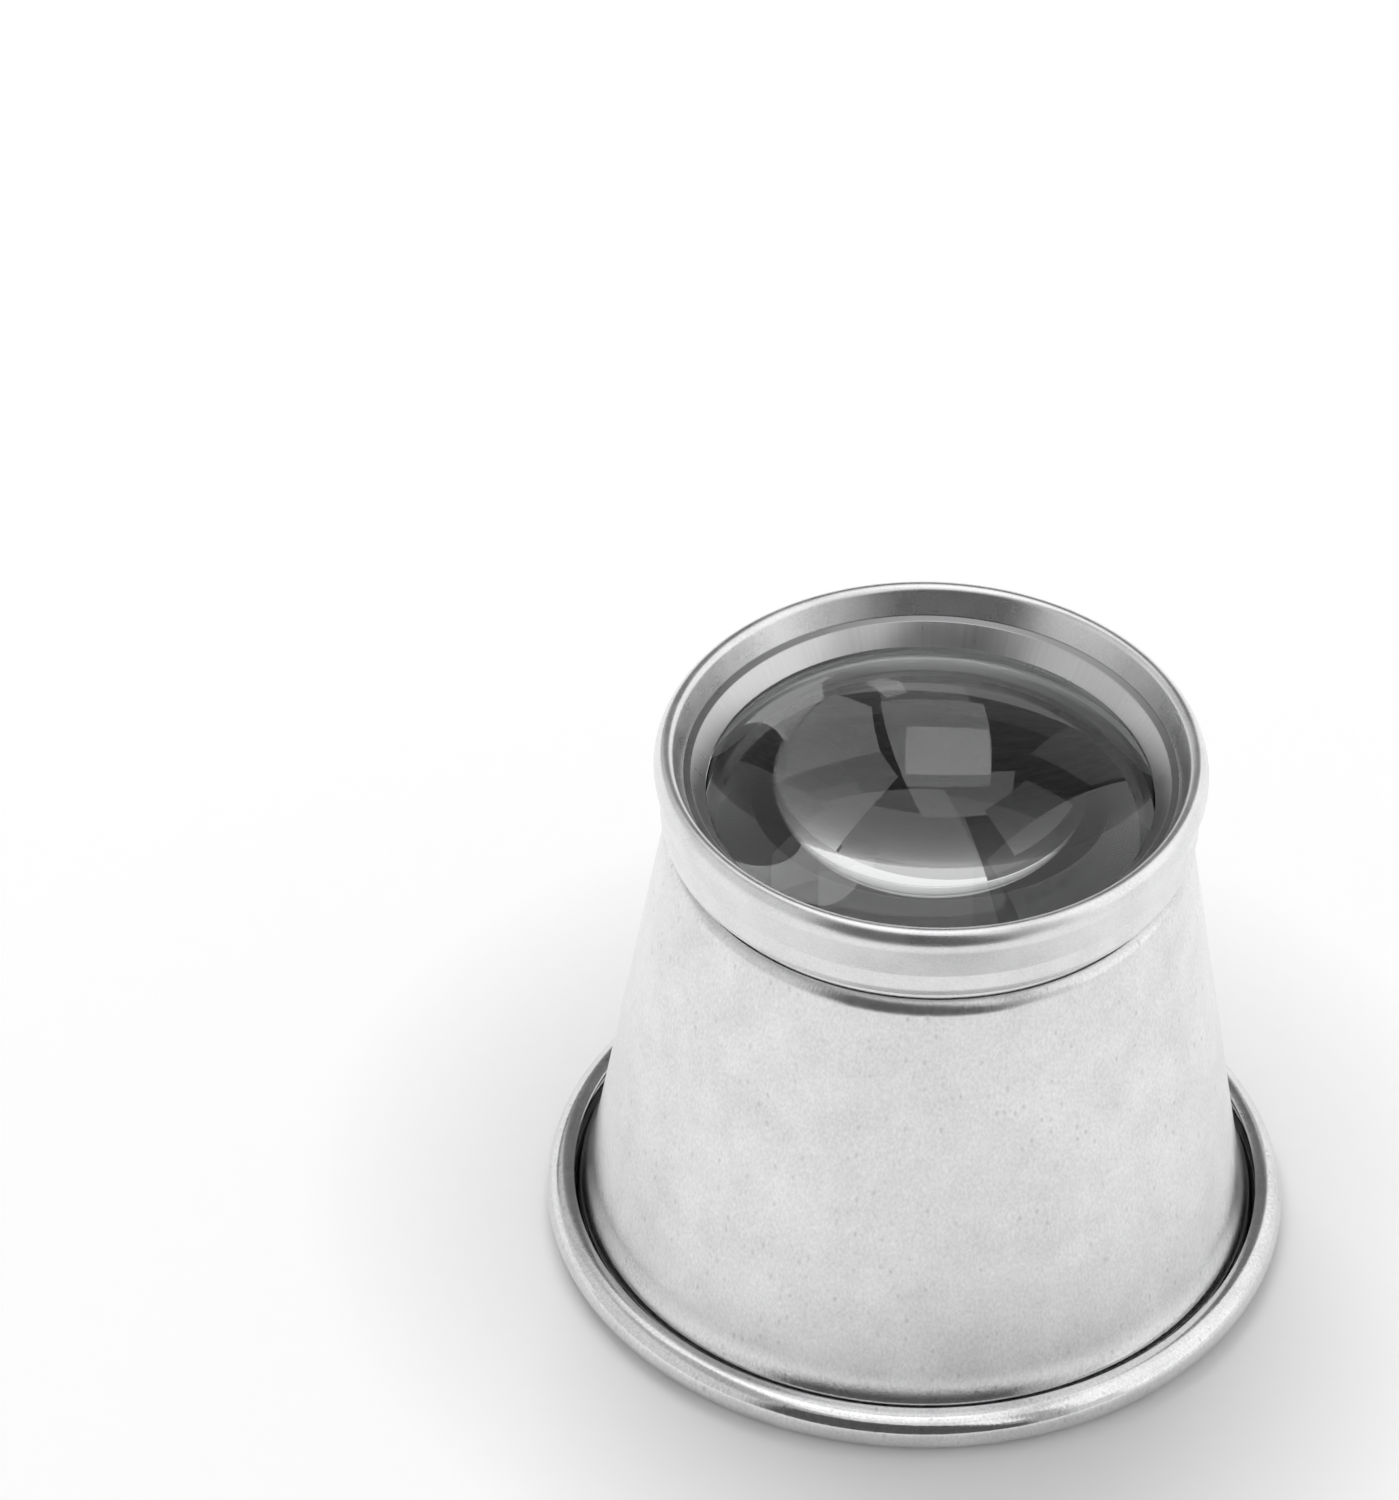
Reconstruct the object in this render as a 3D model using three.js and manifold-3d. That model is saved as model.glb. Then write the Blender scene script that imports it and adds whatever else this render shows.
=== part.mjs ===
// A watchmaker's eye loupe: a spun aluminium eye cup and a screwed lens cell.
// Millimetres, +Z up. The origin is the middle of the foot, on the plane the loupe stands on.
import * as THREE from 'three';
import { mergeVertices } from 'three/addons/utils/BufferGeometryUtils.js';
import Module from 'manifold-3d';

const wasm = await Module();
wasm.setup();

const { cos, sin, tan, acos, asin, atan2, sqrt, hypot, ceil, floor, abs, PI } = Math;
const quarter_turn = PI / 2;
const half_turn = PI;
const full_turn = 2 * PI;

// Fineness of round shapes
const segments = 48;
const arc_step = full_turn / 20;
const lens_rings = 8;

// Lens
const lens_diameter = 22;
const lens_curve_radius = 25;
const lens_edge = 2.7;
const lens_gap = 0.05;
const lens_play = 0.08;

// Retaining ring behind the lens
const ring_width = 1.46;
const ring_seat_width = 0.45;
const ring_height = 1.72;
const ring_recess = 0.8;
const slot_width = 1.2;
const slot_depth = 0.6;

// Screw thread between the bezel's barrel and the neck ring
const barrel_wall = 0.32;
const thread_pitch = 0.75;
const thread_depth_share = 0.4;
const thread_crest_share = 1 / 8;
const thread_flank = PI / 6;
const thread_play = 0.1;
const thread_relief = 0.35;
const thread_lead = 0.15;

// Neck ring, held under the turned-in end of the cup
const collar_wall = 0.35;
const collar_rise = 0.48;
const neck_chamfer = 0.4;
const neck_overhang = 0.3;
const press_gap = 0.05;

// Eye cup, spun from sheet
const foot_diameter = 36;
const foot_roll_radius = 1;
const foot_land = 0.6;
const foot_roll_gap = 0.3;
const sheet = 0.5;
const cup_height = 24.32;
const shoulder_radius = 1.05;
const shoulder_turn = PI / 9;
const flare_step = 0.35;
const flare_radius = 4;
const flare_return_radius = 1;
const flare_tail = 0.55;

// Bezel
const seat_gap = 0.05;
const lip_overhang = 0.52;
const lip_bulge = 0.16;
const lip_rise = 0.45;
const waist_step = 0.08;
const waist_rise = 1.25;
const crest_overhang = 1.03;
const crest_rise = 3.23;
const crest_radius = 1.1;
const rim_radius = 0.4;
const rim_turn = 2 * PI / 9;
const well_lean = 5 * PI / 36;
const ledge_rise = 2.77;
const ledge_drop = 0.07;
const funnel_width = 0.72;
const aperture_overlap = 0.27;
const aperture_rise = 1.72;
const aperture_edge = 0.24;

// How far a cutting shape reaches past what it cuts
const overrun = 0.5;

// Outlines, as points of radius and height
const point = (radius, height) => new THREE.Vector2(radius, height);

function along(start, angle, distance) {
  return point(start.x + distance * cos(angle), start.y + distance * sin(angle));
}

function arc(centre, radius, from, to) {
  const steps = ceil(abs(to - from) / arc_step);
  const points = [];
  for (let i = 0; i <= steps; i++) {
    points.push(along(centre, from + (to - from) * i / steps, radius));
  }
  return points;
}

// Solids of revolution: a counter-clockwise outline, turned about the Z axis
function turned(outline) {
  const geometry = new THREE.LatheGeometry(outline, segments);
  geometry.rotateX(quarter_turn);
  geometry.deleteAttribute('normal');
  geometry.deleteAttribute('uv');
  return mergeVertices(geometry);
}

function turned_ring(outline) {
  return turned([...outline, outline[0]]);
}

// A bar of convex cross-section wound up a right-hand helix, between two heights of its middle
function wound(section, bottom, top) {
  const first = ceil(bottom / thread_pitch * segments);
  const last = floor(top / thread_pitch * segments);
  const corners = section.length;
  const positions = [];
  const index = [];
  for (let i = first; i <= last; i++) {
    const angle = i * full_turn / segments;
    const lift = i * thread_pitch / segments;
    for (const corner of section) {
      positions.push(corner.x * cos(angle), corner.x * sin(angle), corner.y + lift);
    }
  }
  const end = (last - first) * corners;
  for (let here = 0; here < end; here += corners) {
    const next = here + corners;
    for (let j = 0; j < corners; j++) {
      const k = (j + 1) % corners;
      index.push(here + j, next + j, next + k);
      index.push(here + j, next + k, here + k);
    }
  }
  for (let j = 1; j < corners - 1; j++) {
    index.push(0, j, j + 1);
    index.push(end, end + j + 1, end + j);
  }
  const geometry = new THREE.BufferGeometry();
  geometry.setAttribute('position', new THREE.Float32BufferAttribute(positions, 3));
  geometry.setIndex(index);
  return geometry;
}

// Joins and cuts
function solid(geometry) {
  return new wasm.Manifold(new wasm.Mesh({
    numProp: 3,
    vertProperties: new Float32Array(geometry.attributes.position.array),
    triVerts: new Uint32Array(geometry.index.array),
  }));
}

function surface(shape) {
  const mesh = shape.getMesh();
  const geometry = new THREE.BufferGeometry();
  geometry.setAttribute('position', new THREE.BufferAttribute(mesh.vertProperties, 3));
  geometry.setIndex(new THREE.BufferAttribute(mesh.triVerts, 1));
  return geometry;
}

// Radii, worked out from the lens outwards
const lens_radius = lens_diameter / 2;
const bore_radius = lens_radius + lens_play;
const thread_root_radius = bore_radius + barrel_wall;
const thread_crest_radius = thread_root_radius + thread_pitch * thread_depth_share;
const groove_radius = thread_crest_radius + thread_play;
const collar_radius = groove_radius + collar_wall;
const mouth_radius = collar_radius + press_gap;

// Cup wall: its outer face is the straight line between the shoulder and the rolled foot
const inner_shoulder_radius = shoulder_radius - sheet;
const shoulder_centre = point(
  mouth_radius - inner_shoulder_radius * cos(shoulder_turn),
  cup_height - shoulder_radius,
);
const roll_inner_radius = foot_roll_radius - sheet;
const roll_centre = point(
  foot_diameter / 2 - foot_roll_radius,
  sqrt(foot_roll_radius ** 2 - (foot_land / 2) ** 2),
);
const wall_run = roll_centre.x - shoulder_centre.x;
const wall_drop = shoulder_centre.y - roll_centre.y;
const wall_lean = atan2(wall_run, wall_drop)
  - asin((shoulder_radius + roll_inner_radius + flare_step) / hypot(wall_run, wall_drop));

// Radius of a face a depth inside the outer face, at some height
function wall_radius(depth, height) {
  const drop = (shoulder_centre.y - height) * sin(wall_lean);
  return shoulder_centre.x + (shoulder_radius - depth + drop) / cos(wall_lean);
}

// Heights, worked out from the bezel's seat
const seat_height = cup_height + collar_rise;
const bezel_bottom = seat_height + seat_gap;
const aperture_radius = lens_radius - aperture_overlap;
const aperture_height = bezel_bottom + aperture_rise;
const lip_underside = aperture_height - aperture_edge;

// How far the lens's face has dropped at some radius
function sag(radius) {
  return lens_curve_radius - sqrt(lens_curve_radius ** 2 - radius ** 2);
}

const lens_top = lip_underside - lens_gap + sag(aperture_radius);
const lens_edge_bottom = lens_top - sag(lens_radius) - lens_edge;
const lens_bottom = lens_edge_bottom - sag(lens_radius);

const ring_seat_radius = lens_radius - ring_seat_width;
const ring_seat_top = lens_bottom + sag(ring_seat_radius) - lens_gap;
const ring_bottom = ring_seat_top - ring_height;
const barrel_bottom = ring_bottom - ring_recess;
const neck_bottom = barrel_bottom - neck_overhang;

// Half the thread ridge's width at some radius
function ridge_half(radius) {
  return thread_pitch * thread_crest_share / 2 + (thread_crest_radius - radius) * tan(thread_flank);
}

// The ridge's cross-section between two radii, with play on its flanks
function thread_section(inner, outer, play) {
  const inner_half = ridge_half(inner) + play;
  const outer_half = ridge_half(outer) + play;
  return [
    point(inner, -inner_half),
    point(outer, -outer_half),
    point(outer, outer_half),
    point(inner, inner_half),
  ];
}

function make_eye_cup() {
  // The roll runs from the wall down, under and up again to its free edge
  const roll_start = half_turn + wall_lean;
  const roll_end = full_turn + wall_lean + acos((foot_roll_gap - roll_inner_radius) / foot_roll_radius);
  const bottom = half_turn + quarter_turn;
  const land_angle = asin(foot_land / 2 / foot_roll_radius);

  // The flare is two arcs of opposite bend between the roll and the cone
  const bend = acos(1 - flare_step / (flare_radius + flare_return_radius));
  const steep = wall_lean + bend;
  const roll_side = along(roll_centre, roll_start, roll_inner_radius);
  const tail_top = along(roll_side, wall_lean + quarter_turn, flare_tail);
  const return_centre = along(tail_top, wall_lean + half_turn, flare_return_radius);
  const turn_point = along(return_centre, steep, flare_return_radius);
  const flare_centre = along(turn_point, steep, flare_radius);

  // The sheet turns in over the shoulder and is cut upright at the mouth
  const mouth_angle = acos((mouth_radius - shoulder_centre.x) / shoulder_radius);

  return turned_ring([
    ...arc(roll_centre, foot_roll_radius, roll_start, bottom - land_angle),
    ...arc(roll_centre, foot_roll_radius, bottom + land_angle, full_turn),
    ...arc(roll_centre, foot_roll_radius, full_turn, roll_end).slice(1),
    ...arc(roll_centre, roll_inner_radius, roll_end, roll_start),
    ...arc(return_centre, flare_return_radius, wall_lean, steep),
    ...arc(flare_centre, flare_radius, half_turn + steep, half_turn + wall_lean).slice(1),
    ...arc(shoulder_centre, shoulder_radius, wall_lean, mouth_angle),
    ...arc(shoulder_centre, inner_shoulder_radius, shoulder_turn, wall_lean),
    ...arc(flare_centre, flare_radius + sheet, half_turn + wall_lean, half_turn + steep),
    ...arc(return_centre, flare_return_radius - sheet, steep, wall_lean).slice(1),
  ]);
}

function make_neck_ring() {
  const bore = thread_root_radius + thread_play;
  const depth = sheet + press_gap;
  const ring_shoulder_radius = shoulder_radius - depth;
  const collar_angle = acos((collar_radius - shoulder_centre.x) / ring_shoulder_radius);
  const blank = turned_ring([
    point(bore + neck_chamfer, neck_bottom),
    point(wall_radius(depth, neck_bottom), neck_bottom),
    ...arc(shoulder_centre, ring_shoulder_radius, wall_lean, collar_angle),
    point(collar_radius, seat_height),
    point(bore, seat_height),
    point(bore, neck_bottom + neck_chamfer),
  ]);
  const section = thread_section(thread_root_radius + thread_play / 2, groove_radius, thread_play);
  const groove = wound(section, neck_bottom - overrun, seat_height + overrun);
  return surface(solid(blank).subtract(solid(groove)));
}

function make_front_bezel() {
  const lip_radius = mouth_radius + lip_overhang;
  const waist = point(lip_radius + waist_step, bezel_bottom + waist_rise);
  const outer_radius = mouth_radius + crest_overhang;
  const crest_centre = point(outer_radius - crest_radius, bezel_bottom + crest_rise);
  const rise = crest_centre.y - waist.y;
  const reach = crest_centre.x - waist.x;
  const undercut = asin(crest_radius / hypot(reach, rise)) + atan2(reach, rise);

  // The rim turns over into a steep wall, a narrow ledge and the funnel down to the lens
  const rim_centre = along(crest_centre, rim_turn, crest_radius - rim_radius);
  const well_top = along(rim_centre, half_turn - well_lean, rim_radius);
  const ledge_height = bezel_bottom + ledge_rise;
  const ledge_radius = well_top.x - (well_top.y - ledge_height) * tan(well_lean);
  const blank = turned_ring([
    point(lip_radius, bezel_bottom),
    point(lip_radius + lip_bulge, bezel_bottom + lip_rise),
    waist,
    ...arc(crest_centre, crest_radius, -undercut, 0),
    ...arc(crest_centre, crest_radius, 0, rim_turn).slice(1),
    ...arc(rim_centre, rim_radius, rim_turn, quarter_turn).slice(1),
    ...arc(rim_centre, rim_radius, quarter_turn, half_turn - well_lean).slice(1),
    point(ledge_radius, ledge_height),
    point(aperture_radius + funnel_width, ledge_height - ledge_drop),
    point(aperture_radius, aperture_height),
    point(aperture_radius, lip_underside),
    point(bore_radius, lip_underside),
    point(bore_radius, barrel_bottom),
    point(thread_root_radius, barrel_bottom),
    point(thread_root_radius, bezel_bottom),
  ]);
  const foot_half = ridge_half(thread_root_radius);
  const section = thread_section(thread_root_radius - barrel_wall / 2, thread_crest_radius, 0);
  const ridge = wound(
    section,
    barrel_bottom + thread_lead + foot_half,
    bezel_bottom - thread_relief - foot_half,
  );
  return surface(solid(blank).add(solid(ridge)));
}

function make_lens() {
  const rim_angle = asin(lens_radius / lens_curve_radius);
  const front_centre = point(0, lens_top - lens_curve_radius);
  const back_centre = point(0, lens_bottom + lens_curve_radius);
  const front = [];
  const back = [];
  for (let i = 1; i <= lens_rings; i++) {
    const angle = rim_angle * i / lens_rings;
    back.push(along(back_centre, angle - quarter_turn, lens_curve_radius));
    front.unshift(along(front_centre, quarter_turn - angle, lens_curve_radius));
  }
  return turned([point(0, lens_bottom), ...back, ...front, point(0, lens_top)]);
}

function make_retaining_ring() {
  const blank = turned_ring([
    point(lens_radius - ring_width, ring_bottom),
    point(lens_radius, ring_bottom),
    point(lens_radius, lens_edge_bottom - lens_gap),
    point(ring_seat_radius, ring_seat_top),
  ]);
  const slot = new THREE.BoxGeometry(lens_diameter + overrun, slot_width, slot_depth + overrun);
  slot.translate(0, 0, ring_bottom + (slot_depth - overrun) / 2);
  slot.deleteAttribute('normal');
  slot.deleteAttribute('uv');
  return surface(solid(blank).subtract(solid(mergeVertices(slot))));
}

// Named pieces
const aluminium = 0xdcdcdc;
const pale_glass = 0xe8f0ee;

function piece(name, geometry, color, roughness, metalness) {
  geometry.computeVertexNormals();
  const material = new THREE.MeshStandardMaterial({ color, roughness, metalness });
  const mesh = new THREE.Mesh(geometry, material);
  mesh.name = name;
  return mesh;
}

const loupe = new THREE.Group();
loupe.add(piece('eye_cup', make_eye_cup(), aluminium, 0.35, 1));
loupe.add(piece('neck_ring', make_neck_ring(), aluminium, 0.45, 1));
loupe.add(piece('front_bezel', make_front_bezel(), aluminium, 0.3, 1));
loupe.add(piece('lens', make_lens(), pale_glass, 0.05, 0));
loupe.add(piece('retaining_ring', make_retaining_ring(), aluminium, 0.4, 1));

export default loupe;
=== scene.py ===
# A watchmaker's eye loupe, standing on a pale table
from math import acos, asin, atan2, ceil, cos, hypot, pi, radians, sin, sqrt, tan

import bmesh
import bpy
from mathutils import Matrix, Vector


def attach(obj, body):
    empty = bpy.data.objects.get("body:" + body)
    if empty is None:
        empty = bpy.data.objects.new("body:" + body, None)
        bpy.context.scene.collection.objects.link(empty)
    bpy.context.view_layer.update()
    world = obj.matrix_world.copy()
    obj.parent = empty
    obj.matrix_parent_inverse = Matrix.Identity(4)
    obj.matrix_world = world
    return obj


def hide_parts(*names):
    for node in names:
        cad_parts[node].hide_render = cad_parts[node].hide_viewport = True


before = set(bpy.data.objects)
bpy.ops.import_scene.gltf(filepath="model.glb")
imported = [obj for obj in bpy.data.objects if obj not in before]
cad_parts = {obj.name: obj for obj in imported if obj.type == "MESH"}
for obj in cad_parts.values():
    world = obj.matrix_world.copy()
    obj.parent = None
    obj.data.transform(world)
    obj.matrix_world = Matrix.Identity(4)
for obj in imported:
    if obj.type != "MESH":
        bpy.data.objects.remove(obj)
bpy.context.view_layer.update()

# Sizes, in millimetres
MM = 0.001
QUARTER, HALF, FULL = pi / 2, pi, 2 * pi

LENS_RADIUS, LENS_CURVE, LENS_EDGE, LENS_GAP, LENS_PLAY = 11, 25, 2.7, 0.05, 0.08
RING_WIDTH, RING_SEAT_WIDTH, RING_HEIGHT, RING_RECESS = 1.46, 0.45, 1.72, 0.8
SLOT_WIDTH, SLOT_DEPTH = 1.2, 0.6
BARREL_WALL, PITCH, THREAD_PLAY = 0.32, 0.75, 0.1
THREAD_DEPTH, THREAD_TOP, THREAD_FLANK = 0.3, 0.75 / 16, pi / 6
COLLAR_WALL, COLLAR_RISE, NECK_CHAMFER, NECK_OVERHANG = 0.35, 0.48, 0.4, 0.3
PRESS_GAP, SEAT_GAP = 0.05, 0.05
FOOT_RADIUS, ROLL, FOOT_LAND, ROLL_GAP, SHEET = 18, 1, 0.6, 0.3, 0.5
CUP_HEIGHT, SHOULDER, SHOULDER_TURN = 24.32, 1.05, pi / 9
FLARE_STEP, FLARE, FLARE_RETURN, FLARE_TAIL = 0.35, 4, 1, 0.55
CREST_RISE, CREST, RIM, RIM_TURN, WELL_LEAN = 3.23, 1.1, 0.4, 2 * pi / 9, 5 * pi / 36
LEDGE_RISE, LEDGE_DROP, FUNNEL_WIDTH = 2.77, 0.07, 0.72
LIP_OVERHANG, LIP_BULGE, LIP_RISE = 0.52, 0.16, 0.45
WAIST_STEP, WAIST_RISE, CREST_OVERHANG = 0.08, 1.25, 1.03
APERTURE_OVERLAP, APERTURE_RISE, APERTURE_EDGE = 0.27, 1.72, 0.24
THREAD_LEAD, THREAD_RELIEF, THREAD_RUN_OUT = 0.15, 0.35, 0.3
THREAD_STEP = PITCH / 14

FINE_ROUND, LENS_ROUND, RING_ROUND = 384, 288, 240

BORE = LENS_RADIUS + LENS_PLAY
THREAD_ROOT = BORE + BARREL_WALL
NECK_BORE = THREAD_ROOT + THREAD_PLAY
COLLAR = THREAD_ROOT + THREAD_DEPTH + THREAD_PLAY + COLLAR_WALL
MOUTH = COLLAR + PRESS_GAP
SEAT = CUP_HEIGHT + COLLAR_RISE
BEZEL_BOTTOM = SEAT + SEAT_GAP
APERTURE = LENS_RADIUS - APERTURE_OVERLAP
APERTURE_TOP = BEZEL_BOTTOM + APERTURE_RISE
LIP_UNDERSIDE = APERTURE_TOP - APERTURE_EDGE


def sag(radius):
    return LENS_CURVE - sqrt(LENS_CURVE ** 2 - radius ** 2)


LENS_TOP = LIP_UNDERSIDE - LENS_GAP + sag(APERTURE)
LENS_EDGE_BOTTOM = LENS_TOP - sag(LENS_RADIUS) - LENS_EDGE
LENS_BOTTOM = LENS_EDGE_BOTTOM - sag(LENS_RADIUS)
RING_SEAT = LENS_RADIUS - RING_SEAT_WIDTH
RING_SEAT_TOP = LENS_BOTTOM + sag(RING_SEAT) - LENS_GAP
RING_BOTTOM = RING_SEAT_TOP - RING_HEIGHT
BARREL_BOTTOM = RING_BOTTOM - RING_RECESS
NECK_BOTTOM = BARREL_BOTTOM - NECK_OVERHANG

ROLL_INSIDE = ROLL - SHEET
SHOULDER_INSIDE = SHOULDER - SHEET
SHOULDER_CENTRE = (MOUTH - SHOULDER_INSIDE * cos(SHOULDER_TURN), CUP_HEIGHT - SHOULDER)
ROLL_CENTRE = (FOOT_RADIUS - ROLL, sqrt(ROLL ** 2 - (FOOT_LAND / 2) ** 2))
WALL_RUN = ROLL_CENTRE[0] - SHOULDER_CENTRE[0]
WALL_DROP = SHOULDER_CENTRE[1] - ROLL_CENTRE[1]
WALL_LEAN = atan2(WALL_RUN, WALL_DROP) - asin(
    (SHOULDER + ROLL_INSIDE + FLARE_STEP) / hypot(WALL_RUN, WALL_DROP))


# Outlines, as lists of (radius, height, rounding of that corner)
def along(start, angle, distance):
    return (start[0] + distance * cos(angle), start[1] + distance * sin(angle))


def arc(centre, radius, start, end, step=radians(5)):
    steps = ceil(abs(end - start) / step)
    return [(*along(centre, start + (end - start) * i / steps, radius), 0)
            for i in range(steps + 1)]


def straight(start, end, step):
    steps = ceil(hypot(end[0] - start[0], end[1] - start[1]) / step)
    return [(start[0] + (end[0] - start[0]) * i / steps,
             start[1] + (end[1] - start[1]) * i / steps, 0) for i in range(steps + 1)]


def eased(outline):
    """Rounds the corners that name a rounding."""
    points = []
    for i, (radius, height, rounding) in enumerate(outline):
        here = Vector((radius, height))
        if not rounding:
            points.append(here)
            continue
        before = (Vector(outline[i - 1][:2]) - here).normalized()
        after = (Vector(outline[(i + 1) % len(outline)][:2]) - here).normalized()
        half = before.angle(after) / 2
        centre = here + (before + after).normalized() * rounding / sin(half)
        first = here + before * rounding / tan(half) - centre
        last = here + after * rounding / tan(half) - centre
        sweep = first.angle_signed(last)
        steps = max(3, ceil(abs(sweep) / radians(12)))
        for j in range(steps + 1):
            turned = Matrix.Rotation(-sweep * j / steps, 2) @ first
            points.append(centre + turned)
    return points


# Node trees
def add(tree, kind, inputs=None, **settings):
    node = tree.nodes.new(kind)
    for name, value in settings.items():
        setattr(node, name, value)
    for name, value in (inputs or {}).items():
        put(tree, node.inputs[name], value)
    return node


def put(tree, socket, value):
    if isinstance(value, bpy.types.NodeSocket):
        tree.links.new(value, socket)
    else:
        socket.default_value = value


def maths(tree, operation, *values):
    node = tree.nodes.new("ShaderNodeMath")
    node.operation = operation
    for socket, value in zip(node.inputs, values):
        put(tree, socket, value)
    return node.outputs[0]


def from_axis(tree, x, y):
    return maths(tree, "SQRT", maths(
        tree, "ADD", maths(tree, "MULTIPLY", x, x), maths(tree, "MULTIPLY", y, y)))


def new_shape_tree(name, inputs):
    tree = bpy.data.node_groups.new(name, "GeometryNodeTree")
    for label, kind in inputs:
        tree.interface.new_socket(label, in_out="INPUT", socket_type="NodeSocket" + kind)
    tree.interface.new_socket("Piece", in_out="OUTPUT", socket_type="NodeSocketGeometry")
    return tree, tree.nodes.new("NodeGroupInput").outputs


def turning_tree():
    """Turns an outline of radius and height about the upright axis."""
    tree, given = new_shape_tree("turned_on_a_lathe", [
        ("Outline", "Geometry"), ("Steps Round", "Int"), ("Finish", "Material"),
        ("Second Finish", "Material"),
    ])
    reach = 10 * MM
    circle = add(tree, "GeometryNodeCurvePrimitiveCircle",
                 {"Resolution": given["Steps Round"], "Radius": reach})
    upright = add(tree, "GeometryNodeSetCurveNormal", {"Curve": circle.outputs["Curve"]},
                  mode="Z_UP")
    line = add(tree, "GeometryNodeMeshToCurve", {"Mesh": given["Outline"]})
    shifted = add(tree, "GeometryNodeTransform",
                  {"Geometry": line.outputs["Curve"], "Translation": (-reach, 0, 0),
                   "Scale": (1, -1, 1)})
    swept = add(tree, "GeometryNodeCurveToMesh",
                {"Curve": upright.outputs["Curve"], "Profile Curve": shifted.outputs[0]})
    closed = add(tree, "GeometryNodeMergeByDistance",
                 {"Geometry": swept.outputs["Mesh"], "Distance": 0.001 * MM})
    real = add(tree, "GeometryNodeRealizeInstances", {"Geometry": closed.outputs[0]})
    finished = add(tree, "GeometryNodeSetMaterial",
                   {"Geometry": real.outputs[0], "Material": given["Finish"]})
    second = add(tree, "GeometryNodeInputNamedAttribute", {"Name": "second"}, data_type="FLOAT")
    chosen = add(tree, "FunctionNodeCompare", {"A": second.outputs["Attribute"], "B": 0.99},
                 data_type="FLOAT", operation="GREATER_THAN")
    painted = add(tree, "GeometryNodeSetMaterial",
                  {"Geometry": finished.outputs[0], "Selection": chosen.outputs[0],
                   "Material": given["Second Finish"]})
    add(tree, "NodeGroupOutput", {"Piece": painted.outputs[0]})
    return tree


def threading_tree():
    """Moves a fine upright face outwards along a right-hand screw thread."""
    tree, given = new_shape_tree("screw_thread", [
        ("Piece", "Geometry"), ("Face Radius", "Float"), ("Pitch", "Float"), ("Depth", "Float"),
        ("Half Width at Face", "Float"), ("Half Width at Top", "Float"),
        ("From", "Float"), ("To", "Float"), ("Run Out", "Float"), ("Finish", "Material"),
    ])
    place = add(tree, "GeometryNodeInputPosition").outputs[0]
    x, y, height = add(tree, "ShaderNodeSeparateXYZ", {"Vector": place}).outputs
    radius = from_axis(tree, x, y)
    turn = maths(tree, "DIVIDE", maths(tree, "ARCTAN2", y, x), FULL)
    climb = maths(tree, "SUBTRACT", maths(tree, "DIVIDE", height, given["Pitch"]), turn)
    apart = maths(tree, "MULTIPLY", given["Pitch"], maths(
        tree, "ABSOLUTE", maths(tree, "SUBTRACT", climb, maths(tree, "ROUND", climb))))
    flank = maths(tree, "DIVIDE", maths(tree, "SUBTRACT", given["Half Width at Face"], apart),
                  maths(tree, "SUBTRACT", given["Half Width at Face"], given["Half Width at Top"]))
    ridge = add(tree, "ShaderNodeClamp", {"Value": flank}).outputs[0]
    start = add(tree, "ShaderNodeClamp", {"Value": maths(
        tree, "DIVIDE", maths(tree, "SUBTRACT", height, given["From"]), given["Run Out"])})
    stop = add(tree, "ShaderNodeClamp", {"Value": maths(
        tree, "DIVIDE", maths(tree, "SUBTRACT", given["To"], height), given["Run Out"])})
    rise = maths(tree, "MULTIPLY", maths(tree, "MULTIPLY", given["Depth"], ridge),
                 maths(tree, "MULTIPLY", start.outputs[0], stop.outputs[0]))
    share = maths(tree, "DIVIDE", rise, radius)
    outward = add(tree, "ShaderNodeCombineXYZ", {
        "X": maths(tree, "MULTIPLY", x, share), "Y": maths(tree, "MULTIPLY", y, share)})
    on_face = add(tree, "FunctionNodeCompare", {"A": radius, "B": given["Face Radius"],
                                                "Epsilon": 0.002 * MM},
                  data_type="FLOAT", operation="EQUAL")
    moved = add(tree, "GeometryNodeSetPosition",
                {"Geometry": given["Piece"], "Selection": on_face.outputs[0],
                 "Offset": outward.outputs[0]})
    real = add(tree, "GeometryNodeRealizeInstances", {"Geometry": moved.outputs[0]})
    second = add(tree, "GeometryNodeInputNamedAttribute", {"Name": "second"}, data_type="FLOAT")
    first = add(tree, "FunctionNodeCompare", {"A": second.outputs["Attribute"], "B": 0.99},
                data_type="FLOAT", operation="LESS_EQUAL")
    finished = add(tree, "GeometryNodeSetMaterial",
                   {"Geometry": real.outputs[0], "Selection": first.outputs[0],
                    "Material": given["Finish"]})
    add(tree, "NodeGroupOutput", {"Piece": finished.outputs[0]})
    return tree


def give(modifier, **values):
    """Sets a modifier's inputs by their sockets' identifiers."""
    for item in modifier.node_group.interface.items_tree:
        name = item.name.lower().replace(" ", "_")
        if item.in_out == "INPUT" and name in values:
            modifier[item.identifier] = values[name]


def settled(piece):
    """Makes what the modifiers show the piece's own mesh."""
    evaluated = piece.evaluated_get(bpy.context.evaluated_depsgraph_get())
    mesh = bpy.data.meshes.new_from_object(evaluated)
    mesh.name = piece.name
    piece.modifiers.clear()
    piece.data = mesh
    shell = bmesh.new()
    shell.from_mesh(mesh)
    bmesh.ops.recalc_face_normals(shell, faces=shell.faces)
    shell.to_mesh(mesh)
    shell.free()
    mesh.shade_smooth()
    mesh.set_sharp_from_angle(angle=radians(32))
    return piece


TURNING = turning_tree()
THREADING = threading_tree()


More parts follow.
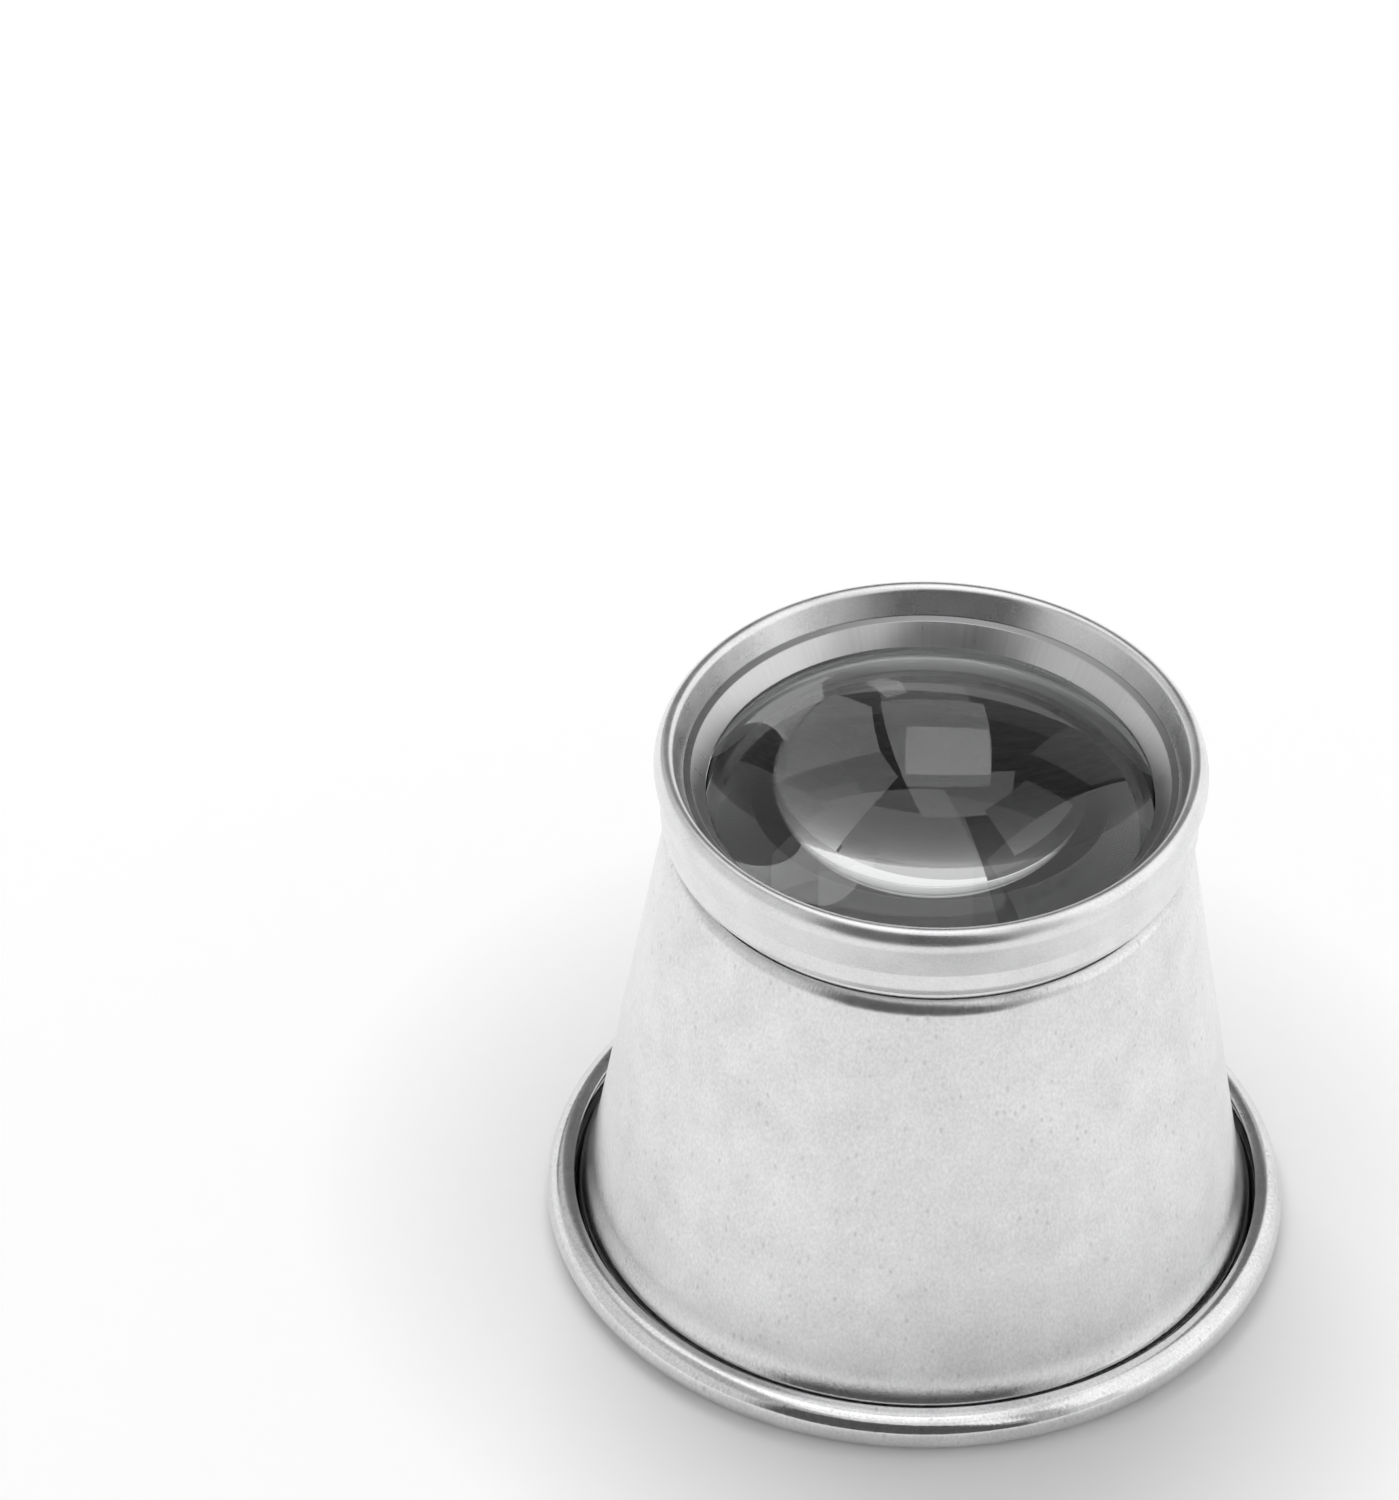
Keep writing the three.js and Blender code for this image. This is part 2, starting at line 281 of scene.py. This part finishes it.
def turned(name, outline, steps, finish, second_finish=None, second=(), closed=True, thread=None):
    """A turned piece, with its second finish on the outline's points that `second` marks."""
    mesh = bpy.data.meshes.new(name)
    count = len(outline)
    edges = [(i, (i + 1) % count) for i in range(count if closed else count - 1)]
    mesh.from_pydata([(p[0] * MM, p[1] * MM, 0) for p in outline], edges, [])
    mark = mesh.attributes.new("second", "FLOAT", "POINT")
    for i in range(count):
        mark.data[i].value = float(bool(second) and bool(second(outline[i])))
    piece = bpy.data.objects.new(name, mesh)
    bpy.context.scene.collection.objects.link(piece)
    lathe = piece.modifiers.new("lathe", "NODES")
    lathe.node_group = TURNING
    give(lathe, steps_round=steps, finish=finish, second_finish=second_finish or finish)
    if thread:
        cutter = piece.modifiers.new("thread", "NODES")
        cutter.node_group = THREADING
        give(cutter, finish=finish, pitch=PITCH * MM, **{k: v * MM for k, v in thread.items()})
    return settled(piece)


# Materials
def new_material(name):
    material = bpy.data.materials.new(name)
    material.use_nodes = True
    tree = material.node_tree
    tree.nodes.clear()
    return material, tree


def finish_with(tree, shader):
    add(tree, "ShaderNodeOutputMaterial", {"Surface": shader.outputs[0]})


def ranged(tree, value, low, high, to_low, to_high):
    node = add(tree, "ShaderNodeMapRange", {
        "Value": value, "From Min": low, "From Max": high, "To Min": to_low, "To Max": to_high})
    return node.outputs["Result"]


def noise(tree, vector, scale, detail=2, roughness=0.5):
    node = add(tree, "ShaderNodeTexNoise", {
        "Vector": vector, "Scale": scale, "Detail": detail, "Roughness": roughness})
    return node.outputs["Fac"]


def grey_between(tree, share, dark, light):
    node = add(tree, "ShaderNodeMix", data_type="RGBA")
    put(tree, node.inputs[0], share)
    for socket, colour in zip(node.inputs[6:8], (dark, light)):
        put(tree, socket, (*colour, 1) if isinstance(colour, tuple) else colour)
    return node.outputs[2]


def bumped(tree, height, depth_mm, strength=1.0):
    node = add(tree, "ShaderNodeBump",
               {"Height": height, "Distance": depth_mm * MM, "Strength": strength})
    return node.outputs["Normal"]


def stretched(tree, vector, scale):
    return add(tree, "ShaderNodeMapping", {"Vector": vector, "Scale": scale}).outputs[0]


def satin_aluminium():
    """Spun sheet, finely blasted, with small dark pits, and painted shade on the shoulder's top
    under the bezel's lip.
    """
    material, tree = new_material("satin_spun_aluminium")
    place = add(tree, "ShaderNodeTexCoord").outputs["Object"]
    long_place = stretched(tree, place, (1, 1, 0.6))
    grain = noise(tree, long_place, 7500, 3, 0.6)
    cloud = noise(tree, place, 420, 3, 0.55)
    cells = add(tree, "ShaderNodeTexVoronoi", {"Vector": long_place, "Scale": 2300})
    chance = add(tree, "ShaderNodeSeparateColor", {"Color": cells.outputs["Color"]})
    pit = maths(tree, "MULTIPLY",
                ranged(tree, cells.outputs["Distance"], 0.12, 0.3, 1, 0),
                ranged(tree, chance.outputs[0], 0.72, 0.78, 0, 1))
    height = add(tree, "ShaderNodeSeparateXYZ", {"Vector": place}).outputs[2]
    rolled = ranged(tree, height, 1.7 * MM, 2.3 * MM, 0.5, 1)
    shade = maths(tree, "ADD", maths(tree, "MULTIPLY", grain, 0.6),
                  maths(tree, "MULTIPLY", cloud, 0.4))
    shade = maths(tree, "SUBTRACT", shade, maths(tree, "MULTIPLY", pit, 0.2))
    # Painted shade: the shoulder's top, under the bezel's lip, goes towards near black.
    painted_shade_under_lip = ranged(tree, height, 23.9 * MM, 24.25 * MM, 0, 0.4)
    shader = add(tree, "ShaderNodeBsdfPrincipled", {
        "Base Color": grey_between(tree, painted_shade_under_lip, grey_between(
            tree, ranged(tree, shade, 0.25, 0.7, 0, 1), (0.58, 0.58, 0.585), (0.84, 0.84, 0.845)),
            (0.2, 0.2, 0.205)),
        "Metallic": 1.0,
        "Roughness": maths(tree, "MULTIPLY", ranged(tree, cloud, 0.3, 0.7, 0.22, 0.28), rolled),
        "Normal": bumped(tree, maths(tree, "MULTIPLY", rolled, maths(
            tree, "SUBTRACT", grain, maths(tree, "MULTIPLY", pit, 0.5))), 0.007),
    })
    finish_with(tree, shader)
    return material


def turned_aluminium():
    """Bright turned metal, with faint tool lines round it, brush marks across its funnel, and
    painted shade in the step at the ledge above the funnel.
    """
    material, tree = new_material("bright_turned_aluminium")
    place = add(tree, "ShaderNodeTexCoord").outputs["Object"]
    x, y, height = add(tree, "ShaderNodeSeparateXYZ", {"Vector": place}).outputs
    radius = from_axis(tree, x, y)
    across = add(tree, "ShaderNodeCombineXYZ", {"X": radius, "Y": height}).outputs[0]
    lines = noise(tree, across, 9000, 2, 0.6)
    flat = add(tree, "ShaderNodeCombineXYZ", {"X": x, "Y": y}).outputs[0]
    way = add(tree, "ShaderNodeVectorMath", {"Vector": flat}, operation="NORMALIZE").outputs[0]
    brush = noise(tree, way, 70, 4, 0.65)
    grain = noise(tree, place, 8000, 2, 0.5)
    cloud = noise(tree, place, 500, 2, 0.5)
    inside = ranged(tree, radius, 11.42 * MM, 11.5 * MM, 1, 0)
    marks = maths(tree, "ADD", maths(tree, "MULTIPLY", brush, inside),
                  maths(tree, "MULTIPLY", lines, 0.35))
    fleck = ranged(tree, maths(tree, "ADD", grain, cloud), 0.7, 1.3, 0, 1)
    rough = ranged(tree, maths(tree, "ADD", cloud, marks), 0.5, 1.4, 0.26, 0.38)
    # Painted shade: the step at the ledge, above the funnel, is darkened to a dark grey.
    ledge = maths(tree, "MULTIPLY", ranged(tree, radius, 11.83 * MM, 11.86 * MM, 1, 0), maths(
        tree, "MULTIPLY", ranged(tree, height, 27.4 * MM, 27.5 * MM, 0, 1),
        ranged(tree, height, 27.63 * MM, 27.7 * MM, 1, 0)))
    shader = add(tree, "ShaderNodeBsdfPrincipled", {
        "Base Color": grey_between(
            tree, inside,
            grey_between(tree, ledge, grey_between(
                tree, fleck, (0.68, 0.68, 0.685), (0.8, 0.8, 0.805)), (0.3, 0.3, 0.305)),
            grey_between(tree, brush, (0.52, 0.52, 0.525), (0.68, 0.68, 0.685))),
        "Metallic": 1.0,
        "Roughness": maths(tree, "SUBTRACT", rough, maths(tree, "MULTIPLY", inside, 0.04)),
        "Normal": bumped(
            tree, maths(tree, "ADD", marks, maths(tree, "MULTIPLY", grain, 0.4)), 0.003),
    })
    finish_with(tree, shader)
    return material


def machined_aluminium():
    """The ring behind the lens, left as it was cut."""
    material, tree = new_material("machined_aluminium")
    place = add(tree, "ShaderNodeTexCoord").outputs["Object"]
    cut = noise(tree, stretched(tree, place, (0.05, 0.05, 1)), 6000, 2, 0.6)
    cloud = noise(tree, place, 400, 2, 0.5)
    shader = add(tree, "ShaderNodeBsdfPrincipled", {
        "Base Color": grey_between(tree, cloud, (0.82, 0.82, 0.825), (0.9, 0.9, 0.905)),
        "Metallic": 1.0,
        "Roughness": ranged(tree, cut, 0.3, 0.7, 0.3, 0.38),
        "Normal": bumped(tree, cut, 0.0005),
    })
    finish_with(tree, shader)
    return material


def matt_black():
    """Matt black lacquer on the inside of the cup."""
    material, tree = new_material("matt_black_lacquer")
    place = add(tree, "ShaderNodeTexCoord").outputs["Object"]
    grain = noise(tree, place, 5200, 3, 0.6)
    cloud = noise(tree, place, 300, 2, 0.5)
    shader = add(tree, "ShaderNodeBsdfPrincipled", {
        "Base Color": grey_between(tree, cloud, (0.008, 0.008, 0.0085), (0.02, 0.02, 0.021)),
        "Roughness": ranged(tree, grain, 0.3, 0.7, 0.5, 0.72),
        "Normal": bumped(tree, grain, 0.02),
    })
    finish_with(tree, shader)
    return material


def lens_glass():
    """Polished crown glass, with a trace of wiping marks."""
    material, tree = new_material("lens_glass")
    place = add(tree, "ShaderNodeTexCoord").outputs["Object"]
    wipe = noise(tree, stretched(tree, place, (1, 0.3, 1)), 900, 3, 0.6)
    shader = add(tree, "ShaderNodeBsdfPrincipled", {
        "Base Color": (0.985, 0.995, 0.99, 1),
        "Roughness": ranged(tree, wipe, 0.45, 0.75, 0.0, 0.01),
        "IOR": 1.517,
        "Transmission Weight": 1.0,
        "Normal": bumped(tree, wipe, 0.00005),
    })
    finish_with(tree, shader)
    return material


def ground_glass():
    """The lens's ground edge."""
    material, tree = new_material("ground_glass_edge")
    place = add(tree, "ShaderNodeTexCoord").outputs["Object"]
    grit = noise(tree, place, 40000, 2, 0.6)
    shader = add(tree, "ShaderNodeBsdfPrincipled", {
        "Base Color": (0.9, 0.92, 0.91, 1),
        "Roughness": ranged(tree, grit, 0.3, 0.7, 0.45, 0.65),
        "IOR": 1.517,
        "Transmission Weight": 0.6,
        "Normal": bumped(tree, grit, 0.002),
    })
    finish_with(tree, shader)
    return material


SATIN = satin_aluminium()
BRIGHT = turned_aluminium()
MACHINED = machined_aluminium()
BLACK = matt_black()
GLASS = lens_glass()
GROUND = ground_glass()


# Eye cup
def make_eye_cup():
    roll_start = HALF + WALL_LEAN
    roll_end = FULL + WALL_LEAN + acos((ROLL_GAP - ROLL_INSIDE) / ROLL)
    bottom = HALF + QUARTER
    land = asin(FOOT_LAND / 2 / ROLL)
    paint_end = roll_start + radians(28)
    bend = acos(1 - FLARE_STEP / (FLARE + FLARE_RETURN))
    steep = WALL_LEAN + bend
    roll_side = along(ROLL_CENTRE, roll_start, ROLL_INSIDE)
    tail_top = along(roll_side, WALL_LEAN + QUARTER, FLARE_TAIL)
    return_centre = along(tail_top, WALL_LEAN + HALF, FLARE_RETURN)
    flare_centre = along(along(return_centre, steep, FLARE_RETURN), steep, FLARE)
    mouth_angle = acos((MOUTH - SHOULDER_CENTRE[0]) / SHOULDER)
    mouth_edge = arc(SHOULDER_CENTRE, SHOULDER, WALL_LEAN, mouth_angle, radians(2.5))
    sheet_end = along(ROLL_CENTRE, roll_end, ROLL)
    sheet_end_inside = along(ROLL_CENTRE, roll_end, ROLL_INSIDE)
    outside = [
        *arc(ROLL_CENTRE, ROLL, paint_end, bottom - land, radians(4)),
        *arc(ROLL_CENTRE, ROLL, bottom + land, roll_end, radians(3))[:-1],
        (*sheet_end, 0.1),
        (*sheet_end_inside, 0.1),
        *arc(ROLL_CENTRE, ROLL_INSIDE, roll_end, roll_start)[1:],
        *arc(return_centre, FLARE_RETURN, WALL_LEAN, steep, radians(3)),
        *arc(flare_centre, FLARE, HALF + steep, HALF + WALL_LEAN, radians(1.5))[1:],
        *mouth_edge[:-1],
        (*mouth_edge[-1][:2], 0.04),
    ]
    inside = [
        *arc(SHOULDER_CENTRE, SHOULDER_INSIDE, SHOULDER_TURN, WALL_LEAN),
        *arc(flare_centre, FLARE + SHEET, HALF + WALL_LEAN, HALF + steep, radians(1.5)),
        *arc(return_centre, FLARE_RETURN - SHEET, steep, WALL_LEAN)[1:],
        *arc(ROLL_CENTRE, ROLL, roll_start, paint_end, radians(4))[:-1],
    ]
    outline = eased([*outside, *inside])
    first_inside = len(outline) - len(inside)
    painted = {tuple(p) for p in outline[first_inside:]} | {tuple(outline[0])}
    cup = turned("cup_shell", outline, FINE_ROUND, SATIN, BLACK, lambda p: tuple(p) in painted)
    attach(cup, "cup")
    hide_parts("eye_cup")


# Neck ring
def make_neck_ring():
    depth = SHEET + PRESS_GAP
    shoulder = SHOULDER - depth
    drop = (SHOULDER_CENTRE[1] - NECK_BOTTOM) * sin(WALL_LEAN)
    skirt = SHOULDER_CENTRE[0] + (SHOULDER - depth + drop) / cos(WALL_LEAN)
    collar_angle = acos((COLLAR - SHOULDER_CENTRE[0]) / shoulder)
    collar_edge, hair = 0.06, 0.001
    outline = eased([
        (NECK_BORE + NECK_CHAMFER, NECK_BOTTOM, 0.04),
        (skirt, NECK_BOTTOM, 0.04),
        *arc(SHOULDER_CENTRE, shoulder, WALL_LEAN, collar_angle),
        (COLLAR, SEAT, collar_edge),
        *straight((NECK_BORE, SEAT), (NECK_BORE, NECK_BOTTOM + NECK_CHAMFER), THREAD_STEP),
    ])
    groove_foot = THREAD_TOP + (THREAD_DEPTH - THREAD_PLAY) * tan(THREAD_FLANK) + THREAD_PLAY
    groove_top = THREAD_TOP - THREAD_PLAY * tan(THREAD_FLANK) + THREAD_PLAY

    def bare(p):
        return p[0] > COLLAR - collar_edge - 0.01 or p[1] > SEAT - hair

    ring = turned("neck_insert", outline, RING_ROUND, BLACK, BRIGHT, bare, thread={
        "face_radius": NECK_BORE, "depth": THREAD_DEPTH,
        "half_width_at_face": groove_foot, "half_width_at_top": groove_top,
        "from": NECK_BOTTOM, "to": SEAT + hair, "run_out": hair})
    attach(ring, "cup")
    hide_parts("neck_ring")


# Bezel
def make_bezel():
    lip = MOUTH + LIP_OVERHANG
    waist = (lip + WAIST_STEP, BEZEL_BOTTOM + WAIST_RISE)
    outer = MOUTH + CREST_OVERHANG
    crest = (outer - CREST, BEZEL_BOTTOM + CREST_RISE)
    rise, reach = crest[1] - waist[1], crest[0] - waist[0]
    undercut = asin(CREST / hypot(reach, rise)) + atan2(reach, rise)
    rim = along(crest, RIM_TURN, CREST - RIM)
    well_top = along(rim, HALF - WELL_LEAN, RIM)
    ledge = BEZEL_BOTTOM + LEDGE_RISE
    outline = eased([
        (lip, BEZEL_BOTTOM, 0.12),
        (lip + LIP_BULGE, BEZEL_BOTTOM + LIP_RISE, 0.5),
        (*waist, 0.35),
        *arc(crest, CREST, -undercut, RIM_TURN, radians(2.5)),
        *arc(rim, RIM, RIM_TURN, HALF - WELL_LEAN, radians(4))[1:],
        (well_top[0] - (well_top[1] - ledge) * tan(WELL_LEAN), ledge, 0),
        (APERTURE + FUNNEL_WIDTH, ledge - LEDGE_DROP, 0.03),
        (APERTURE, APERTURE_TOP, 0.07),
        (APERTURE, LIP_UNDERSIDE, 0.05),
        (BORE, LIP_UNDERSIDE, 0),
        (BORE, BARREL_BOTTOM, 0.05),
        *straight((THREAD_ROOT, BARREL_BOTTOM), (THREAD_ROOT, BEZEL_BOTTOM), THREAD_STEP),
    ])
    ridge_foot = THREAD_TOP + THREAD_DEPTH * tan(THREAD_FLANK)
    bezel = turned("bezel", outline, FINE_ROUND, BRIGHT, thread={
        "face_radius": THREAD_ROOT, "depth": THREAD_DEPTH,
        "half_width_at_face": ridge_foot, "half_width_at_top": THREAD_TOP,
        "from": BARREL_BOTTOM + THREAD_LEAD, "to": BEZEL_BOTTOM - THREAD_RELIEF,
        "run_out": THREAD_RUN_OUT})
    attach(bezel, "cell")
    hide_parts("front_bezel")


# Lens
def make_lens():
    rim = asin(LENS_RADIUS / LENS_CURVE)
    front = (0, LENS_TOP - LENS_CURVE)
    back = (0, LENS_BOTTOM + LENS_CURVE)
    outline = [
        *arc(back, LENS_CURVE, -QUARTER, rim - QUARTER, rim / 60),
        *arc(front, LENS_CURVE, QUARTER - rim, QUARTER, rim / 60),
    ]
    lens = turned("lens_body", outline, LENS_ROUND, GLASS, GROUND,
                  lambda p: p[0] > LENS_RADIUS - 0.0001, closed=False)
    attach(lens, "cell_slide")
    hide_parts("lens")


# Retaining ring
def make_retaining_ring():
    outline = eased([
        (LENS_RADIUS - RING_WIDTH, RING_BOTTOM, 0.06),
        (LENS_RADIUS, RING_BOTTOM, 0.06),
        (LENS_RADIUS, LENS_EDGE_BOTTOM - LENS_GAP, 0),
        (RING_SEAT, RING_SEAT_TOP, 0.04),
    ])
    ring = turned("retainer", outline, RING_ROUND, MACHINED)
    mesh = bpy.data.meshes.new("slot_cutter")
    box = bmesh.new()
    bmesh.ops.create_cube(box, size=1)
    bmesh.ops.scale(box, verts=box.verts, vec=Vector((24, SLOT_WIDTH, 2 * SLOT_DEPTH)) * MM)
    bmesh.ops.translate(box, verts=box.verts, vec=(0, 0, RING_BOTTOM * MM))
    box.to_mesh(mesh)
    box.free()
    cutter = bpy.data.objects.new("slot_cutter", mesh)
    bpy.context.scene.collection.objects.link(cutter)
    slots = ring.modifiers.new("slots", "BOOLEAN")
    slots.operation, slots.solver, slots.object = "DIFFERENCE", "EXACT", cutter
    settled(ring)
    bpy.data.objects.remove(cutter)
    bpy.data.meshes.remove(mesh)
    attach(ring, "cell")
    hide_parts("retaining_ring")


make_eye_cup()
make_neck_ring()
make_bezel()
make_lens()
make_retaining_ring()


# Camera
def make_camera():
    tilt, roll, distance = radians(40.55), radians(1.41), 600
    across, up = 10.516, 22.151
    back = Vector((0, -cos(tilt), sin(tilt)))
    level, steep = Vector((1, 0, 0)), Vector((0, sin(tilt), cos(tilt)))
    right = level * cos(roll) + steep * sin(roll)
    over = steep * cos(roll) - level * sin(roll)
    data = bpy.data.cameras.new("camera")
    data.sensor_fit = "VERTICAL"
    data.sensor_height = 36
    data.lens = 293.27
    data.clip_start, data.clip_end = 0.01, 20
    camera = bpy.data.objects.new("camera", data)
    place = (-across * right + up * over + distance * back) * MM
    turn = Matrix((right, over, back)).transposed().to_4x4()
    camera.matrix_world = Matrix.Translation(place) @ turn
    bpy.context.scene.collection.objects.link(camera)
    bpy.context.scene.camera = camera


# Table, cards and light
CARD_BASE = 0.0287


def shown_share(tree):
    """1 for the rays that show the background, and 0 for those that light the object."""
    rays = add(tree, "ShaderNodeLightPath").outputs
    return maths(tree, "MAXIMUM", rays["Is Camera Ray"], maths(
        tree, "MAXIMUM", rays["Is Glossy Ray"], rays["Is Transmission Ray"]))


def flat_sheet(name, corners, material):
    mesh = bpy.data.meshes.new(name)
    mesh.from_pydata([Vector(c) for c in corners], [], [range(len(corners))])
    mesh.materials.append(material)
    sheet = bpy.data.objects.new(name, mesh)
    bpy.context.scene.collection.objects.link(sheet)
    return sheet


def make_table():
    material, tree = new_material("pale_table")
    place = add(tree, "ShaderNodeTexCoord").outputs["Object"]
    fibre = noise(tree, place, 900, 2, 0.5)
    diffuse = add(tree, "ShaderNodeBsdfDiffuse", {
        "Color": grey_between(tree, fibre, (0.88, 0.88, 0.88), (0.9, 0.9, 0.9))})
    x, y, _ = add(tree, "ShaderNodeSeparateXYZ", {"Vector": place}).outputs
    away = from_axis(tree, x, y)
    # Painted shadow: the glow fades out towards the foot, so the table stays darker in a ring
    # round the foot, for the camera and in reflections.
    glow_beyond_painted_shadow = ranged(tree, away, 17 * MM, 30 * MM, 0, 0.2)
    shown = maths(tree, "MULTIPLY", shown_share(tree), glow_beyond_painted_shadow)
    mirrored = add(tree, "ShaderNodeLightPath").outputs["Is Glossy Ray"]
    glow = add(tree, "ShaderNodeEmission", {"Strength": maths(
        tree, "ADD", shown, maths(tree, "MULTIPLY", mirrored, 0.03))})
    both = add(tree, "ShaderNodeAddShader")
    put(tree, both.inputs[0], diffuse.outputs[0])
    put(tree, both.inputs[1], glow.outputs[0])
    finish_with(tree, both)
    flat_sheet("table", [(-6, -6, 0), (6, -6, 0), (6, 6, 0), (-6, 6, 0)], material)


def card(name, corners, in_metal, in_glass=None):
    """A card that shows only in reflections, with another brightness for rays out of glass."""
    material, tree = new_material(name)
    strength = in_metal
    if in_glass:
        out_of_glass = add(tree, "ShaderNodeLightPath").outputs["Is Transmission Ray"]
        strength = ranged(tree, out_of_glass, 0, 1, in_metal, in_glass)
    finish_with(tree, add(tree, "ShaderNodeEmission",
                          {"Color": (1, 1, 1, 1), "Strength": strength}))
    sheet = flat_sheet(name, corners, material)
    sheet.visible_camera = sheet.visible_diffuse = sheet.visible_shadow = False


def side_card(name, corners, in_metal, in_glass=None, distance=0.6):
    """A card with its corners as turns from the near side and angles of rise, in degrees."""
    places = []
    for turn, rise in corners:
        way, up = radians(turn), radians(rise)
        places.append((distance * cos(up) * sin(way), -distance * cos(up) * cos(way),
                       CARD_BASE + distance * sin(up)))
    card(name, places, in_metal, in_glass)


def top_card(name, corners, in_metal, in_glass, height):
    """A level card with its corners as steps across and away for each step up."""
    card(name, [(x * height, y * height, CARD_BASE + height) for x, y in corners],
         in_metal, in_glass)


def wall_card(name, start, end, height, in_metal, in_glass=None):
    card(name, [(*start, 0), (*end, 0), (*end, height), (*start, height)], in_metal, in_glass)


def make_cards():
    far, high = 1.1, 1.2
    wall_card("far_wall", (-far, far), (far, far), high, 0.2, 0.2)
    wall_card("near_wall", (-far, -far), (far, -far), high, 0.45, 0.1)
    wall_card("near_board", (-0.07, -0.115), (0.07, -0.115), 0.04, 0.1)
    wall_card("left_wall", (-far, -far), (-far, far), high, 0.75, 0.1)
    wall_card("right_wall", (far, -far), (far, far), high, 0.75, 0.1)
    card("ceiling", [(-far, -far, high), (far, -far, high), (far, far, high), (-far, far, high)],
         0.5, 0.1)
    top_card("top_panel_middle", [(-0.39, -0.13), (0.17, -0.13), (0.17, 0.33), (-0.39, 0.33)],
             1.5, 4.4, 0.6)
    top_card("top_panel", [(-0.41, -0.5), (0.42, -0.5), (0.165, 0.45), (-0.39, 0.45)],
             1.2, 2.4, 0.62)
    top_card("top_panel_near", [(-0.3, -1.0), (0.56, -1.0), (0.42, -0.5), (-0.3, -0.5)],
             0.9, 1.2, 0.62)
    top_card("top_panel_far", [(-0.6, 0.3), (0.2, 0.3), (0.07, 0.81), (-0.6, 0.81)],
             1.1, 1.3, 0.64)
    side_card("right_panel_near", [(50, 22), (110, 22), (110, 70), (50, 58)], 1.2, 2.5)
    side_card("right_panel_far", [(110, 0), (149, 0), (149, 67), (110, 70)], 1.1, 1.5)
    side_card("right_panel_low", [(60, 0), (110, 0), (110, 22), (60, 22)], 1.2, 2.3)
    side_card("near_right_lamp", [(18, 28), (34, 28), (34, 56), (18, 56)], 1.2, 3.5)
    side_card("near_dark", [(-40, 0), (32, 0), (18, 44), (-40, 44)], 0.1)
    side_card("left_panel", [(207, 20), (240, 20), (240, 50), (207, 50)], 0.6, 0.6)
    side_card("far_panel", [(150, 8), (162, 8), (162, 32), (150, 32)], 0.5, 0.7)
    side_card("far_glow_low", [(100, -2), (196, -2), (196, 11), (100, 11)], 1.0, 0.95, 0.62)
    side_card("far_glow_left", [(196, -2), (260, -2), (260, 11), (196, 11)], 1.0, 0.15, 0.62)
    side_card("far_glow_high", [(150, 11), (196, 11), (196, 22), (150, 22)], 0.3, 0.6, 1.0)
    side_card("far_glow_top", [(149, 22), (196, 22), (196, 50), (149, 50)], 0.15, 0.8, 1.0)


def make_light():
    world = bpy.data.worlds.new("pale_room")
    bpy.context.scene.world = world
    world.use_nodes = True
    tree = world.node_tree
    tree.nodes.clear()
    sky = add(tree, "ShaderNodeBackground", {
        "Color": (1, 1, 1, 1),
        "Strength": ranged(tree, shown_share(tree), 0, 1, 0.58, 1.0)})
    add(tree, "ShaderNodeOutputWorld", {"Surface": sky.outputs[0]})
    lamp = bpy.data.lights.new("soft_lamp", "AREA")
    lamp.shape, lamp.size, lamp.size_y, lamp.energy = "RECTANGLE", 0.8, 0.5, 5.0
    holder = bpy.data.objects.new("soft_lamp", lamp)
    place = Vector((-0.15, 0.65, 0.85))
    holder.location = place
    holder.rotation_euler = place.to_track_quat("Z", "Y").to_euler()
    holder.visible_glossy = holder.visible_transmission = holder.visible_camera = False
    bpy.context.scene.collection.objects.link(holder)


make_camera()
make_table()
make_cards()
make_light()
bpy.context.scene.view_settings.view_transform = "Standard"
